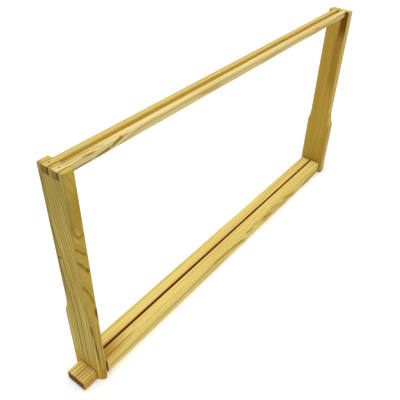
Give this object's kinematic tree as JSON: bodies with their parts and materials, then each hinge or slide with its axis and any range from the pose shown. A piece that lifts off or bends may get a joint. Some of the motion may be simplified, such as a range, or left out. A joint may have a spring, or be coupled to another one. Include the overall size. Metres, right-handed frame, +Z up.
{
  "type": "beehive frame",
  "caption": "Empty wooden self-spacing beehive frame with lugs, wide-shouldered side bars, a grooved top bar and a split bottom bar, standing upside down on its top bar.",
  "frame": {"origin": "middle of the top bar's outer face, which the upside-down frame stands on", "axes": "+X along the top bar towards the right lug, +Y through the frame's thickness towards the back, +Z up from the top bar to the bottom bars"},
  "size_m": [0.48, 0.035, 0.232],
  "materials": {
    "top_bar_pine": "planed bare pine, golden, matt",
    "side_bar_pine": "planed bare pine with close straight growth lines, matt",
    "bottom_bar_pine": "planed bare pine, pale, matt",
    "nail_steel": "bright drawn wire"
  },
  "bodies": {
    "root": {"top_bar": "top_bar_pine", "side_bar_left": "side_bar_pine", "side_bar_right": "side_bar_pine", "bottom_bar_front": "bottom_bar_pine", "bottom_bar_back": "bottom_bar_pine", "top_nail_left_front": "nail_steel", "top_nail_left_back": "nail_steel", "top_nail_right_front": "nail_steel", "top_nail_right_back": "nail_steel", "bottom_pin_left_front": "nail_steel", "bottom_pin_left_back": "nail_steel", "bottom_pin_right_front": "nail_steel", "bottom_pin_right_back": "nail_steel"}
  },
  "joints": []
}
